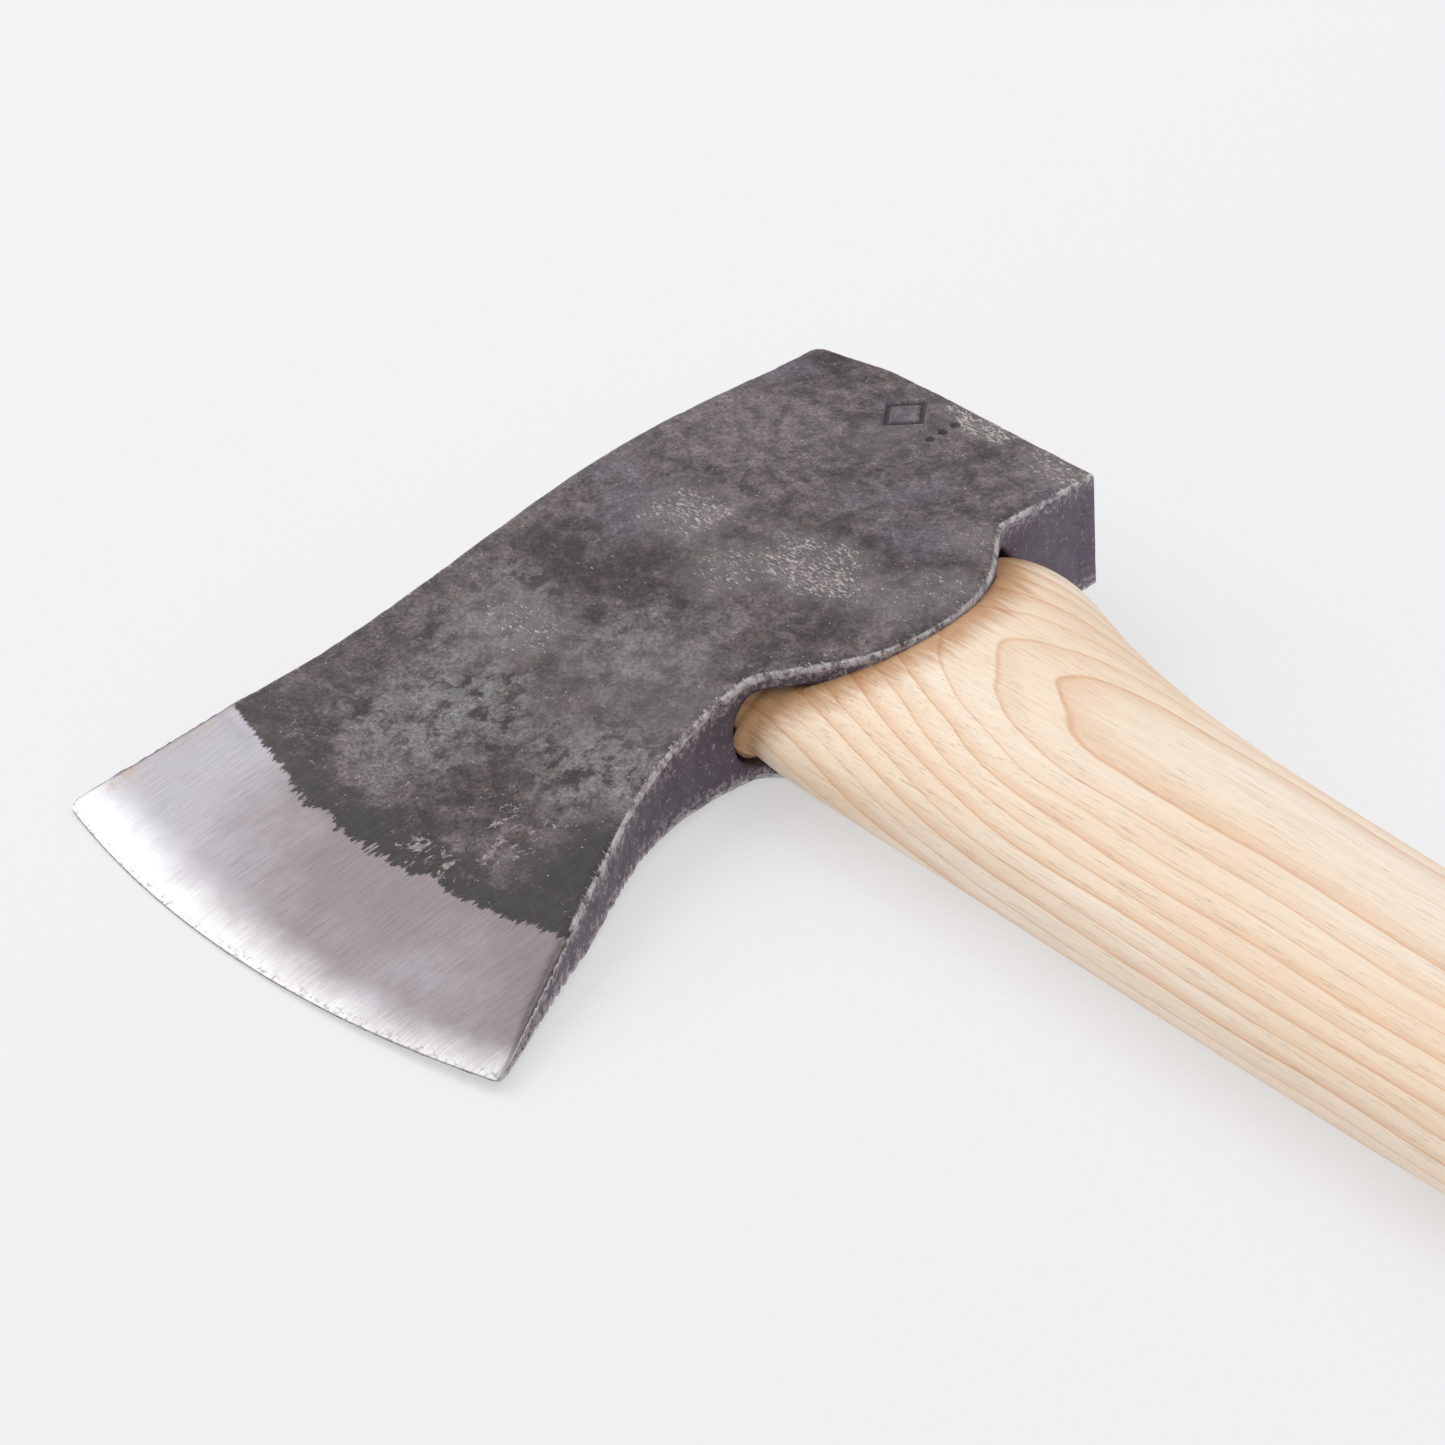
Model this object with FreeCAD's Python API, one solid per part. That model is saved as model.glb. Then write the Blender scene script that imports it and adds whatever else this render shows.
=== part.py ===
"""Carving hatchet: a forged head wedged onto a hardwood handle, lying on its side.

Millimetres. The hatchet is drawn flat, in a design frame:
    x  along the handle, away from the head; 0 at the underside of the poll
    y  from the cutting edge towards the poll; 0 at the eye's centre
    z  across the head's thickness; 0 at its plane of symmetry
It is then laid down the way it rests on a table, on its edge, its lower cheek and the
handle's knob. The table is z = 0, the origin is under the middle of the bounding box,
and +X still runs along the handle.
"""

import FreeCAD, Part
import math
import os

from FreeCAD import Rotation, Vector

# ---- Head, seen from the side ----
poll_to_eye = 45.5        # poll face to the eye's centre
eye_to_edge = 106.0       # eye's centre to the middle of the cutting edge
poll_height = 59.0        # top line to underside, along the handle
poll_flat = 44.0          # flat striking face, up from the underside
poll_crown_drop = 3.2     # how far the poll's top corner falls back
edge_radius = 175.0       # arc of the cutting edge
toe_rise = 2.5            # toe corner above the top line
toe_flare = 42.0          # length of the top line that flares to the toe
heel_drop = 30.3          # heel corner below the underside
waist_rise = 1.3          # waist between ears and beard, above the underside
waist_length = 17.5       # from the ear's root to the bend of the beard
ear_depth = 12.6          # tip of each ear below the underside
ear_radius = 25.0         # round tip of the ear
ear_side_angle = 41.5     # slope of the ear's flanks, degrees
ear_offset = 2.0          # ear tip from the eye's centre, towards the poll
ear_root_radius = 4.5     # hollow where an ear meets the underside
corner_radius = 2.5       # poll and toe corners, seen from the side
heel_radius = 1.0         # heel corner, seen from the side

# ---- Head, thickness ----
poll_thickness = 21.0
eye_thickness = 24.5      # at the fullest part, over the eye
waist_thickness = 17.6    # at the front end of the eye
cheek_thickness = 11.6    # a quarter of the way from the eye to the edge
blade_thickness = 7.9     # half way from the eye to the edge
grind_thickness = 6.8     # at the top of the polished bevel
grind_width = 27.0        # polished bevel, measured back from the edge
micro_bevel_width = 3.6
micro_bevel_thickness = 1.2
edge_land = 0.2           # thickness left at the very edge

# ---- Eye ----
eye_length = 55.0         # at the top line and at the underside
eye_back_width = 20.4     # end nearer the poll
eye_front_width = 13.0    # end nearer the edge
eye_corner_share = 0.85   # corner radius, as a share of the half width there
eye_waist_inset = 1.2     # the eye is an hourglass: how far its walls come in half way
eye_fit = 0.05            # gap between the eye's wall and the wood

# ---- Handle ----
handle_length = 372.0     # overall, tongue to knob
tongue_proud = 2.2        # tongue above the top line
shoulder_seat = 0.7       # wood above the waist's underside, before the head trims it
shoulder_overhang = 3.8   # shoulder beyond the eye's end nearer the poll
shoulder_setback = 0.3    # shoulder short of the eye's end nearer the edge
shoulder_round = 2.4      # how far its back draws in, up against the poll
shoulder_nose = 0.9       # how far its front draws in, up against the waist
shoulder_back_fill = 1.7  # half thickness beyond the eye's, at the back; the ears trim it
shoulder_front_fill = 3.6 # the same at the front, where the eye is narrower
shoulder_thinning = 1.0   # how far each side draws in there; the front draws in twice as far
shoulder_x = 10.0         # where the shoulder is fullest, just under the head
shoulder_squareness = 1.9 # 2 is an ellipse; the shoulder is a little leaner
handle_squareness = 2.2
neck_x = 90.0             # where the handle has drawn in to its neck
neck_width = 42.1
neck_thickness = 24.8
neck_front = 25.4         # front of the neck, from the eye's centre towards the edge
grip_width = 33.5
grip_thickness = 23.0
grip_rise = 1.5           # front of the grip behind the neck's, towards the poll
grip_to_end = 105.0       # slimmest part of the grip to the end of the knob
knob_width = 45.0
knob_thickness = 25.6
knob_drop = 8.0           # how far the knob hooks forward of the neck's front
knob_length = 30.0
knob_round = 5.0

# ---- Wedges in the tongue ----
wedge_depth = 44.0
wedge_top_thickness = 6.0
wedge_tip_thickness = 1.4
steel_wedge_width = 13.0
steel_wedge_thickness = 3.0
steel_wedge_tip = 0.4
steel_wedge_depth = 22.0
wedge_fit = 0.05          # gap between a wedge and its slot

# ---- Worked out from the sizes above ----
top_x = -poll_height
axis_x = -poll_height / 2
tongue_x = top_x - tongue_proud
knob_x = tongue_x + handle_length
poll_y = poll_to_eye
edge_y = -eye_to_edge
edge_centre = Vector(axis_x, edge_y + edge_radius, 0)
clear = 2 * (poll_to_eye + eye_to_edge)     # longer than any cut has to be


def rounded_wire(corners, place):
    """Closed wire through (a, b, radius) corners; place(a, b) puts a point in space."""
    points = [Vector(a, b, 0) for a, b, _ in corners]
    arcs = []
    for i, (_, _, radius) in enumerate(corners):
        corner = points[i]
        to_last = (points[i - 1] - corner).normalize()
        to_next = (points[(i + 1) % len(points)] - corner).normalize()
        half_angle = to_last.getAngle(to_next) / 2
        reach = radius / math.tan(half_angle)
        inward = radius / math.sin(half_angle) - radius
        middle = corner + (to_last + to_next).normalize() * inward
        arcs.append((corner + to_last * reach, middle, corner + to_next * reach))
    edges = []
    for i, arc in enumerate(arcs):
        start, middle, end = (place(p.x, p.y) for p in arc)
        following = place(*arcs[(i + 1) % len(arcs)][0][:2])
        if corners[i][2] > 0:
            edges.append(Part.Arc(start, middle, end).toShape())
        edges.append(Part.LineSegment(end, following).toShape())
    return Part.Wire(edges)


def edge_arc_y(x):
    """Where the cutting edge's arc is at height x."""
    return edge_centre.y - math.sqrt(edge_radius**2 - (x - axis_x) ** 2)


def head_outline():
    """Side view of the head, open past the edge: poll, ears, waist, beard and top line."""
    flank = math.tan(math.radians(ear_side_angle))
    apex_x = ear_depth + ear_radius * (1 / math.cos(math.radians(ear_side_angle)) - 1)
    root_y = ear_offset - (apex_x + waist_rise) / flank
    bend_y = root_y - waist_length
    heel_y = edge_arc_y(heel_drop)
    beard_angle = math.atan2(heel_drop + waist_rise, bend_y - heel_y)
    root_reach = ear_root_radius * math.tan(math.radians(ear_side_angle) / 2)
    sweep_radius = (waist_length - 1.2 * root_reach) / math.tan(beard_angle / 2)
    past_y = edge_y - heel_drop
    toe_y = edge_arc_y(top_x - toe_rise)
    flare_y = toe_y + toe_flare
    toe_slope = toe_rise / toe_flare
    return [
        (0, poll_y, 0),
        (0, ear_offset + apex_x / flank, ear_root_radius),
        (apex_x, ear_offset, ear_radius),
        (-waist_rise, root_y, ear_root_radius),
        (-waist_rise, bend_y, sweep_radius),
        (heel_drop + (heel_y - past_y) * math.tan(beard_angle), past_y, 0),
        (top_x - (flare_y - past_y) * toe_slope, past_y, 0),
        (top_x, flare_y, edge_radius),
        (top_x, poll_y - poll_crown_drop, corner_radius),
        (-poll_flat, poll_y, poll_height / 2),
    ]


def upright_edges(shape, x, y):
    """The straight edge across the head's thickness at the corner (x, y)."""
    found = []
    for edge in shape.Edges:
        box = edge.BoundBox
        upright = max(box.XLength, box.YLength) < 0.001
        if upright and math.hypot(box.XMin - x, box.YMin - y) < corner_radius:
            found.append(edge)
    return found


def side_block():
    """Thick slab with the head's side view, cut to the arc of the edge."""
    thick = 2 * eye_thickness
    below = Vector(0, 0, -thick / 2)
    wire = rounded_wire(head_outline(), lambda x, y: Vector(x, y, below.z))
    slab = Part.Face(wire).extrude(Vector(0, 0, thick))
    slab = slab.common(Part.makeCylinder(edge_radius, thick, edge_centre + below))
    toe_x = top_x - toe_rise
    slab = slab.makeFillet(corner_radius, upright_edges(slab, toe_x, edge_arc_y(toe_x)))
    heel_y = edge_arc_y(heel_drop)
    return slab.makeFillet(heel_radius, upright_edges(slab, heel_drop, heel_y))


def cheek_curve(sign):
    """Section of one cheek from behind the poll to past the edge, at height x = 0."""
    back = eye_length / 2
    blade = eye_to_edge - back
    stations = [
        (poll_y + back / 4, poll_thickness / 2),
        (back + 5, 0.8 * poll_thickness / 2 + 0.2 * eye_thickness / 2),
        (ear_offset, eye_thickness / 2),
        (-back, waist_thickness / 2),
        (-back - blade / 4, cheek_thickness / 2),
        (-back - blade / 2, blade_thickness / 2),
        (edge_y + grind_width, grind_thickness / 2),
        (edge_y - back / 4, grind_thickness / 3),
    ]
    curve = Part.BSplineCurve()
    curve.interpolate([Vector(0, y, sign * half) for y, half in stations])
    return curve


def cheek_slab():
    """Slab between the two cheeks, the same all along x."""
    upper = cheek_curve(1).toShape()
    lower = cheek_curve(-1).toShape()
    ends = [
        Part.LineSegment(upper.Vertexes[i].Point, lower.Vertexes[i].Point).toShape()
        for i in (0, 1)
    ]
    section = Part.Face(Part.Wire([upper, ends[1], lower, ends[0]]))
    section.translate(Vector(-clear, 0, 0))
    return section.extrude(Vector(2 * clear, 0, 0))


def bevel_ring():
    """Everything between the two bevels, turned about the centre of the edge's arc."""
    beyond = 10.0
    half_section = [
        (edge_radius + beyond, edge_land / 2),
        (edge_radius, edge_land / 2),
        (edge_radius - micro_bevel_width, micro_bevel_thickness / 2),
        (edge_radius - grind_width, grind_thickness / 2),
        (edge_radius - grind_width - eye_thickness, eye_thickness),
        (0, eye_thickness),
    ]
    points = [Vector(r, 0, z) for r, z in half_section]
    points += [Vector(r, 0, -z) for r, z in reversed(half_section)]
    section = Part.Face(Part.makePolygon(points + points[:1]))
    ring = section.revolve(Vector(0, 0, 0), Vector(0, 0, 1), 360)
    ring.translate(edge_centre)
    return ring


def eye_section(x, inset):
    """The eye's rounded, tapering outline at x, with its wall moved in by inset."""
    back = eye_length / 2 - inset
    half_back = eye_back_width / 2 - inset
    half_front = eye_front_width / 2 - inset
    corners = [
        (back, half_back, half_back * eye_corner_share),
        (-back, half_front, half_front * eye_corner_share),
        (-back, -half_front, half_front * eye_corner_share),
        (back, -half_back, half_back * eye_corner_share),
    ]
    return rounded_wire(corners, lambda y, z: Vector(x, y, z))


def eye_solid(inset=0.0):
    """The eye's hourglass, from above the tongue to below the ears."""
    above = tongue_x - tongue_proud
    below = ear_depth + tongue_proud
    waist = (top_x + ear_depth) / 2
    sections = [
        eye_section(above, inset),
        eye_section(waist, inset + eye_waist_inset),
        eye_section(below, inset),
    ]
    return Part.makeLoft(sections, True, False)


def axe_head():
    """The forging: side view, cheeks and bevels intersected, and the eye pierced."""
    blank = side_block().common(cheek_slab()).common(bevel_ring())
    return blank.cut(eye_solid()).removeSplitter()


def part_way(a, b, share):
    """The value a share of the way from a to b."""
    return a + (b - a) * share


def between(a, b, share, first_shares=()):
    """Blend of two handle sections, whose first sizes may run ahead of the rest or behind."""
    shares = list(first_shares) + [share] * (len(a) - len(first_shares))
    return tuple(part_way(p, q, part) for p, q, part in zip(a, b, shares))


def handle_section(x, back_y, front_y, half_back, half_front, squareness):
    """Rounded section of the handle at x, from back_y (poll side) to front_y (edge side).

    Squareness 2 is an ellipse, and more is boxier; the half thickness goes from half_back
    to half_front along the section.
    """
    steps = 24
    long_half = (back_y - front_y) / 2
    points = []
    for i in range(steps):
        turn = 2 * math.pi * i / steps
        along = math.copysign(abs(math.cos(turn)) ** (2 / squareness), math.cos(turn))
        across = math.copysign(abs(math.sin(turn)) ** (2 / squareness), math.sin(turn))
        half = half_front + (half_back - half_front) * (1 + along) / 2
        points.append(Vector(x, front_y + long_half * (1 + along), half * across))
    curve = Part.BSplineCurve()
    curve.interpolate(points, PeriodicFlag=True)
    return Part.Wire([curve.toShape()])


def even_section(front_y, width, thickness):
    """Sizes of a section as thick at its back as at its front."""
    return front_y + width, front_y, thickness / 2, thickness / 2, handle_squareness


def haft():
    """The handle below the head: shoulder, neck, grip and knob, as one smooth loft."""
    shoulder_back = eye_length / 2 + shoulder_overhang
    shoulder = (
        shoulder_back,
        shoulder_setback - eye_length / 2,
        eye_back_width / 2 + shoulder_back_fill,
        eye_front_width / 2 + shoulder_front_fill,
        shoulder_squareness,
    )
    draw_in = (shoulder_round, -shoulder_nose, shoulder_thinning, 2 * shoulder_thinning, 0)
    tucked = tuple(size - less for size, less in zip(shoulder, draw_in))
    neck = even_section(-neck_front, neck_width, neck_thickness)
    grip = even_section(grip_rise - neck_front, grip_width, grip_thickness)
    knob = even_section(-neck_front - knob_drop, knob_width, knob_thickness)
    grip_x = knob_x - grip_to_end
    heel_x = knob_x - knob_length

    stations = [
        (-waist_rise - shoulder_seat, tucked),
        (shoulder_x, shoulder),
        (part_way(shoulder_x, neck_x, 0.2), between(shoulder, neck, 0.6, (0.36, 0.3))),
        (part_way(shoulder_x, neck_x, 0.5), between(shoulder, neck, 0.95, (0.77, 0.8))),
        (neck_x, neck),
        (part_way(neck_x, grip_x, 0.5), between(neck, grip, 0.6)),
        (grip_x, grip),
        (part_way(grip_x, heel_x, 0.5), between(grip, knob, 0.05)),
        (heel_x, between(grip, knob, 0.6, (0.3, 0.55))),
        (knob_x, knob),
    ]
    loft = Part.makeLoft([handle_section(x, *sizes) for x, sizes in stations], True, False)
    butt = [edge for edge in loft.Edges if edge.BoundBox.XMin > knob_x - knob_round]
    return loft.makeFillet(knob_round, butt)


def tapered_plate(width, top_thickness, tip_thickness, depth, gap):
    """Wedge driven in from the tongue's end: width along y, thickness along z.

    With a gap it is the slot for that wedge, open at the top.
    """
    half_top = top_thickness / 2 + gap
    half_tip = tip_thickness / 2 + gap
    tip_x = tongue_x + depth + gap
    corners = [
        Vector(tongue_x, 0, half_top),
        Vector(tip_x, 0, half_tip),
        Vector(tip_x, 0, -half_tip),
        Vector(tongue_x, 0, -half_top),
    ]
    if gap > 0:
        corners.append(Vector(tongue_x - tongue_proud, 0, -half_top))
        corners.append(Vector(tongue_x - tongue_proud, 0, half_top))
    plate = Part.Face(Part.makePolygon(corners + corners[:1])).extrude(Vector(0, width, 0))
    plate.translate(Vector(0, -width / 2, 0))
    return plate


def wood_blank(gap=0.0):
    """The wooden wedge before it is trimmed to the eye, or its slot."""
    return tapered_plate(clear, wedge_top_thickness, wedge_tip_thickness, wedge_depth, gap)


def steel_blank(gap=0.0):
    """The steel wedge across the wooden one, or its slot."""
    plate = tapered_plate(
        steel_wedge_width + 2 * gap, steel_wedge_thickness, steel_wedge_tip,
        steel_wedge_depth, gap,
    )
    plate.rotate(Vector(0, 0, 0), Vector(1, 0, 0), 90)
    return plate


def tongue():
    """The wood in the eye, from its end grain down to just inside the shoulder."""
    length = -waist_rise - tongue_x
    span = Part.makeBox(length, clear, clear, Vector(tongue_x, -clear / 2, -clear / 2))
    return eye_solid(eye_fit).common(span)


def handle(head):
    """Tongue and haft in one piece, slotted for the wedges and shaped round the ears."""
    body = tongue().fuse(haft())
    body = body.cut(wood_blank(wedge_fit)).cut(steel_blank(wedge_fit))
    return body.cut(head).removeSplitter()


def wood_wedge():
    """Trimmed to the eye's outline and split by the steel wedge."""
    return wood_blank().common(eye_solid(2 * eye_fit)).cut(steel_blank(wedge_fit))


def resting_up():
    """Which way is up, in the design frame, when the hatchet lies on a table."""
    steps = 400
    heights = [top_x + (heel_drop - top_x) * i / steps for i in range(steps + 1)]
    edge = [Vector(x, edge_arc_y(x), -edge_land / 2) for x in heights]
    section = cheek_curve(-1).discretize(steps)
    eye_front = -eye_length / 2
    cheek = [Vector(x, p.y, p.z) for p in section for x in (top_x, 0) if p.y > eye_front]
    knob_middle = -neck_front - knob_drop + knob_width / 2
    turns = [2 * math.pi * i / steps for i in range(steps)]
    widest_x = knob_x - knob_round
    knob = [
        Vector(widest_x, knob_middle + math.cos(t) * knob_width / 2,
               math.sin(t) * knob_thickness / 2)
        for t in turns
    ]
    up = Vector(0, 0, 1)
    for _ in range(8):
        a, b, c = (min(points, key=up.dot) for points in (edge, cheek, knob))
        up = (c - a).cross(b - a).normalize()
    return up


def lay_down(pieces):
    """Turns the pieces to rest on the table, with the origin under their box's middle."""
    turn = Rotation(resting_up(), Vector(0, 0, 1))
    for shape in pieces.values():
        shape.rotate(Vector(0, 0, 0), turn.Axis, math.degrees(turn.Angle))
    box = Part.Compound(list(pieces.values())).optimalBoundingBox()
    shift = Vector(-box.Center.x, -box.Center.y, -box.ZMin)
    for shape in pieces.values():
        shape.translate(shift)
    return pieces


def build():
    """Every separate piece of the hatchet, by node name, as it lies on the table."""
    head = axe_head()
    return lay_down({
        "axe_head": head,
        "handle": handle(head),
        "wood_wedge": wood_wedge(),
        "steel_wedge": steel_blank(),
    })


def main():
    os.makedirs("parts", exist_ok=True)
    for name, shape in build().items():
        shape.exportStep(f"parts/{name}.step")
        print(name, "solids", len(shape.Solids), "volume", round(shape.Volume))


main()
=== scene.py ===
import math

import bmesh
import bpy
import numpy as np
from mathutils import Matrix, Vector
from mathutils.bvhtree import BVHTree


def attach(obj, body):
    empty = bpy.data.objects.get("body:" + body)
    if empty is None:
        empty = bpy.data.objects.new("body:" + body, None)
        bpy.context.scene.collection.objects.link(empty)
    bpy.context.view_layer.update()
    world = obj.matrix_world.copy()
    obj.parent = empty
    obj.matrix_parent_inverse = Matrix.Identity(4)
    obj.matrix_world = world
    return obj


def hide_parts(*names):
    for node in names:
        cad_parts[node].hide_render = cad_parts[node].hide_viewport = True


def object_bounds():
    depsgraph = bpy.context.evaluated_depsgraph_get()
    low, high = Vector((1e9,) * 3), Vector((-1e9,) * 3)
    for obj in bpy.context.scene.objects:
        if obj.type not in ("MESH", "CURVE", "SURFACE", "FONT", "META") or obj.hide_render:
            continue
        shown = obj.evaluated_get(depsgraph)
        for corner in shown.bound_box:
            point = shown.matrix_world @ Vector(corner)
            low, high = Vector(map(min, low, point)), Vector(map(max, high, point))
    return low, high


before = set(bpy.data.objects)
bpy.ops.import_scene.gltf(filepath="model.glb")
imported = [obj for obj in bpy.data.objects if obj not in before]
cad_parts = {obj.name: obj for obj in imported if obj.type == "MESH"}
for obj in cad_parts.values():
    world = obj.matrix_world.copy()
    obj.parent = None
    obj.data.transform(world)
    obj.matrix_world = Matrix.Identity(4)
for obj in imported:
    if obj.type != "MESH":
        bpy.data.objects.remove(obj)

cad_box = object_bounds()

MM = 0.001

# The forging's own axes, which everything below is drawn in, in millimetres: x along the
# handle, y from the edge to the poll, z across the cheeks. The origin is the eye's centre at
# the underside of the poll, on the plane of symmetry.
POLL_HEIGHT = 59.0       # top line to underside
POLL_TO_EYE = 45.5       # poll face to the eye's centre
EYE_LENGTH = 55.0
EYE_BACK_HALF = 10.2     # half width of the eye's end nearer the poll
EYE_FRONT_HALF = 6.5     # half width of the end nearer the edge
EYE_CORNER_SHARE = 0.85  # corner radius, as a share of the half width there
EYE_WAIST = 1.2          # how far the eye's walls come in half way through
EAR_DEPTH = 12.6         # tip of each ear below the underside
EDGE_RADIUS = 175.0      # arc of the cutting edge
GRIND_WIDTH = 26.5       # bright bevel, back from the edge
TONGUE_PROUD = 2.2       # end of the handle above the top line


# ---------------------------------------------------------------- the frame

def flat_of(obj, direction):
    """Normal and centre of the largest flat of a CAD node that faces a direction."""
    closeness = 0.9
    groups = {}
    for face in obj.data.polygons:
        if face.normal.dot(direction) > closeness:
            key = tuple(round(c, 3) for c in face.normal)
            groups.setdefault(key, []).append(face)
    flat = max(groups.values(), key=lambda faces: sum(f.area for f in faces))
    area = sum(f.area for f in flat)
    normal = sum((f.normal * f.area for f in flat), Vector()).normalized()
    centre = sum((f.center * f.area for f in flat), Vector()) / area
    return normal, centre


def forging_axes():
    """Matrix from the forging's own axes, in millimetres, to the row's frame, in metres."""
    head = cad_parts["axe_head"]
    top_normal, top_centre = flat_of(head, Vector((-1, 0, 0)))
    poll_normal, poll_centre = flat_of(head, Vector((0, 1, 0)))
    x_axis = -top_normal
    y_axis = (poll_normal - x_axis * poll_normal.dot(x_axis)).normalized()
    z_axis = x_axis.cross(y_axis)
    origin = (
        x_axis * (top_centre.dot(x_axis) + POLL_HEIGHT * MM)
        + y_axis * (poll_centre.dot(y_axis) - POLL_TO_EYE * MM)
        + z_axis * poll_centre.dot(z_axis)
    )
    turn = Matrix((x_axis, y_axis, z_axis)).transposed().to_4x4()
    return Matrix.Translation(origin) @ turn @ Matrix.Scale(MM, 4)


TO_ROW = forging_axes()
TO_FORGE = TO_ROW.inverted()


def transform(matrix, points):
    m = np.array(matrix)
    return points @ m[:3, :3].T + m[:3, 3]


def node_tree(name):
    """Search tree of a CAD node's surface, in the forging's axes."""
    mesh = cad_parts[name].data
    points = np.empty(len(mesh.vertices) * 3)
    mesh.vertices.foreach_get("co", points)
    points = transform(TO_FORGE, points.reshape(-1, 3))
    faces = [tuple(p.vertices) for p in mesh.polygons]
    return BVHTree.FromPolygons([Vector(p) for p in points], faces), points


# ---------------------------------------------------------------- numbers

def smoothstep(low, high, value):
    t = np.clip((value - low) / (high - low), 0, 1)
    return t * t * (3 - 2 * t)


def hash_grid(cells, seed):
    """A fixed pseudo-random number from 0 to 1 for each whole-number cell."""
    n = cells.astype(np.int64)
    h = n[:, 0] * 374761393 + n[:, 1] * 668265263 + n[:, 2] * 2147483647 + seed * 974634777
    h = (h ^ (h >> 13)) * 1274126177
    return ((h ^ (h >> 16)) & 0xFFFFFF) / 0xFFFFFF


def noise(points, size, seed=0):
    """Smooth noise from -1 to 1 with features of the given size, in millimetres."""
    q = points / np.asarray(size, dtype=float)
    cell = np.floor(q)
    f = q - cell
    f = f * f * f * (f * (f * 6 - 15) + 10)
    total = 0
    for corner in np.ndindex(2, 2, 2):
        c = np.array(corner)
        weight = np.prod(np.where(c, f, 1 - f), axis=1)
        total = total + weight * hash_grid(cell + c, seed)
    return total * 2 - 1


def march(low, high, spacing):
    """Stations from low to high, as far apart as spacing(station) says."""
    stops = [low]
    while stops[-1] < high:
        stops.append(stops[-1] + spacing(stops[-1]))
    stops = np.array(stops)
    return low + (stops - low) * (high - low) / (stops[-1] - low)


# ---------------------------------------------------------------- meshes

def link(obj):
    bpy.context.scene.collection.objects.link(obj)
    return obj


def mesh_object(name, points, faces, material, attributes=None):
    """A smooth-shaded mesh from points in the forging's axes, kept inside the CAD model's box."""
    mesh = bpy.data.meshes.new(name)
    placed = np.clip(transform(TO_ROW, points), *np.array(cad_box))
    mesh.from_pydata(placed.tolist(), [], faces)
    for key, values in (attributes or {}).items():
        kind = "FLOAT_VECTOR" if values.ndim == 2 else "FLOAT"
        layer = mesh.attributes.new(key, kind, "POINT")
        layer.data.foreach_set("vector" if values.ndim == 2 else "value", values.ravel())
    mesh.materials.append(material)
    mesh.shade_smooth()
    return link(bpy.data.objects.new(name, mesh))


def weld(obj):
    """Joins doubled points and turns every face outwards."""
    distance = 1e-6
    work = bmesh.new()
    work.from_mesh(obj.data)
    bmesh.ops.remove_doubles(work, verts=work.verts, dist=distance)
    bmesh.ops.recalc_face_normals(work, faces=work.faces)
    work.to_mesh(obj.data)
    work.free()
    obj.data.shade_smooth()
    open_edges = [1 for c in edge_use(obj.data) if c != 2]
    print(obj.name, "faces", len(obj.data.polygons), "open edges", len(open_edges))


def edge_use(mesh):
    """How many faces meet at each edge."""
    use = {}
    for polygon in mesh.polygons:
        for key in polygon.edge_keys:
            use[key] = use.get(key, 0) + 1
    return use.values()


def grid_faces(index, flip=False):
    """Quads over a 2-D array of point numbers."""
    a, b, c, d = index[:-1, :-1], index[1:, :-1], index[1:, 1:], index[:-1, 1:]
    order = (a, d, c, b) if flip else (a, b, c, d)
    return np.stack([part.ravel() for part in order], axis=1)


# ---------------------------------------------------------------- the head

HEAD_TREE, HEAD_POINTS = node_tree("axe_head")
AXIS_X = -POLL_HEIGHT / 2
EDGE_Y = HEAD_POINTS[:, 1].min()
EDGE_CENTRE = np.array([AXIS_X, EDGE_Y + EDGE_RADIUS])


def cast(tree, start, way):
    hit = tree.ray_cast(Vector(start), Vector(way))
    return None if hit[0] is None else np.array(hit[0])


def head_outline():
    """Closed outline of the head seen from the side, as points about its middle."""
    middle = np.array([AXIS_X, -20.0])
    far, rays = 200.0, 2400
    levels = (0.0, 2.0, 4.0, 6.0, 8.5, 9.6, 10.3)    # above the plane of symmetry
    outline = []
    for turn in np.linspace(0, 2 * math.pi, rays, endpoint=False):
        way = np.array([math.cos(turn), math.sin(turn)])
        reach = 0.0
        for z in levels:
            start = (*(middle + way * far), z)
            hit = cast(HEAD_TREE, start, (*(-way), 0.0))
            if hit is not None:
                reach = max(reach, float(np.dot(hit[:2] - middle, way)))
        outline.append(middle + way * reach)
    return np.array(outline)


OUTLINE = head_outline()


def side_of(outline, start_way, end_way, toward):
    """Stretch of the outline between its furthest points in two directions."""
    start = int(np.argmax(outline @ np.array(start_way)))
    end = int(np.argmax(outline @ np.array(end_way)))
    step = np.arange(len(outline))
    forward = outline[(start + step[: (end - start) % len(outline) + 1]) % len(outline)]
    back = outline[(start - step[: (start - end) % len(outline) + 1]) % len(outline)]
    key = np.array(toward)
    return forward if (forward @ key).max() > (back @ key).max() else back


def edge_distance(x, y):
    """How far in from the cutting edge's arc a point lies."""
    return EDGE_RADIUS - np.hypot(x - EDGE_CENTRE[0], y - EDGE_CENTRE[1])


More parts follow.
